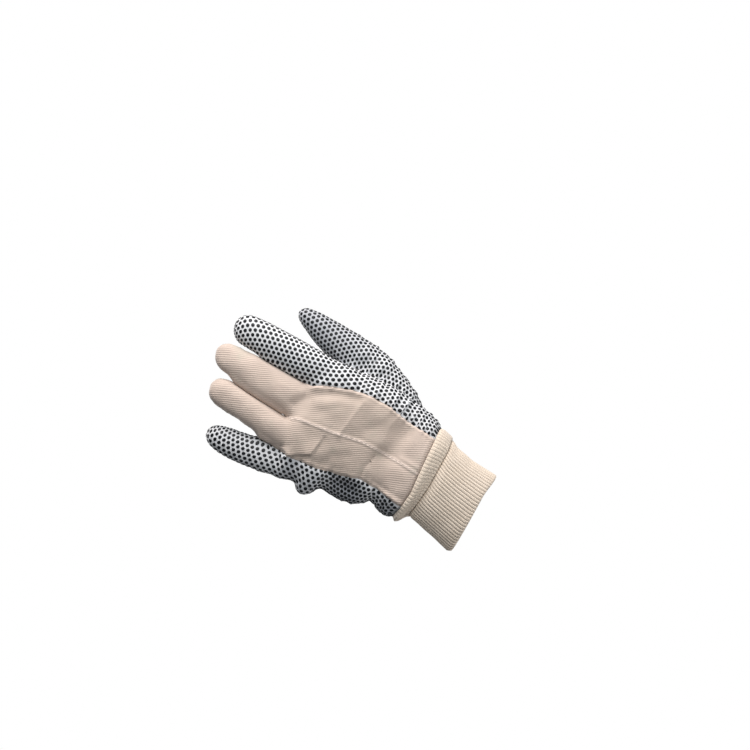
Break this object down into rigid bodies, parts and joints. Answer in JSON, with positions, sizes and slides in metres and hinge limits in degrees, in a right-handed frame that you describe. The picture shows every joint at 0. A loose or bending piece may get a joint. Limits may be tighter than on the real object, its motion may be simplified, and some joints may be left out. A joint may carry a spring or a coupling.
{
  "type": "cotton work glove",
  "caption": "Hollow left-hand work glove of cotton cloth with a dotted grip palm, a plain drill back and a ribbed knit cuff with a rolled band.",
  "frame": {"origin": "centre of the cuff's free edge, where the wrist goes in", "axes": "+Z from the wrist to the fingertips, +X towards the thumb, +Y out of the palm; the back of the hand faces -Y"},
  "size_m": [0.1534, 0.0592, 0.2735],
  "materials": {
    "rib_knit": "soft ribbed cotton knit",
    "dotted_cotton": "white cotton cloth with small raised black dots",
    "cotton_drill": "plain beige cotton drill"
  },
  "bodies": {
    "root": {"knit_cuff": "rib_knit", "palm_panel": "dotted_cotton", "index_finger": "dotted_cotton", "little_finger": "dotted_cotton", "middle_front": "dotted_cotton", "ring_front": "dotted_cotton", "back_middle": "cotton_drill", "back_ring": "cotton_drill", "thumb_back": "dotted_cotton", "thumb_front": "dotted_cotton"}
  },
  "joints": []
}
